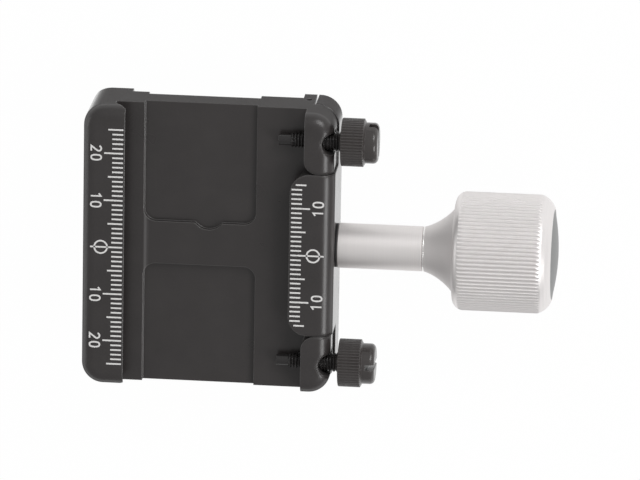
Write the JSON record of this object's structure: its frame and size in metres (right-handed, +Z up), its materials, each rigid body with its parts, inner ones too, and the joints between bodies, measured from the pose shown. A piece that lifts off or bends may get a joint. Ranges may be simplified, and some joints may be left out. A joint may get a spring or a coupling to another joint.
{
  "type": "dovetail quick release clamp",
  "caption": "Screw-knob quick release clamp for dovetail camera plates: fixed jaw with scale, sliding jaw, fluted knob on a spacer sleeve and two knurled stop screws.",
  "frame": {"origin": "mouth of the tapped hole in the underside, midway between the two jaw lips at rest", "axes": "+X from the fixed jaw towards the knob, +Y along the dovetail, +Z up out of the channel"},
  "size_m": [0.0974, 0.0596, 0.0244],
  "materials": {
    "black_anodised": "matt black anodised",
    "silver_anodised": "satin silver anodised",
    "bright_ring": "polished",
    "cap_grey": "matt grey",
    "black_screw": "black oxide",
    "black_washer": "matt",
    "scale_white": "pale filled engraving",
    "steel": "plain turned"
  },
  "bodies": {
    "base": {"base": "black_anodised", "end_grub_screw": "black_screw", "return_spring_upper": "steel", "return_spring_lower": "steel"},
    "jaw": {"moving_jaw": "black_anodised", "guide_pin_upper": "steel", "guide_pin_lower": "steel", "jaw_washer": "black_washer", "spacer_sleeve": "silver_anodised"},
    "knob": {"knob": "silver_anodised", "knob_cap": "cap_grey", "knob_screw": "steel", "spindle": "steel", "thrust_ring": "bright_ring"},
    "stop_upper": {"stop_screw_upper": "black_screw"},
    "stop_lower": {"stop_screw_lower": "black_screw"}
  },
  "joints": [
    {"name": "jaw_slide", "type": "slide", "parent": "base", "child": "jaw", "axis": [1, 0, 0], "range_m": [-0.00035, 0.0035], "deforming": ["return_spring_upper", "return_spring_lower"]},
    {"name": "knob_spin", "type": "hinge", "parent": "jaw", "child": "knob", "pos_m": [0.04, 0, 0.0075], "axis": [1, 0, 0], "range_deg": [-127, 1262]},
    {"name": "stop_upper_slide", "type": "slide", "parent": "base", "child": "stop_upper", "axis": [1, 0, 0], "range_m": [-0.0009, 0.0056]},
    {"name": "stop_lower_slide", "type": "slide", "parent": "base", "child": "stop_lower", "axis": [1, 0, 0], "range_m": [-0.0009, 0.0056]}
  ],
  "couplings": [
    {"joint": "knob_spin", "follows": "jaw_slide", "rad_per_m": 6283.2}
  ]
}
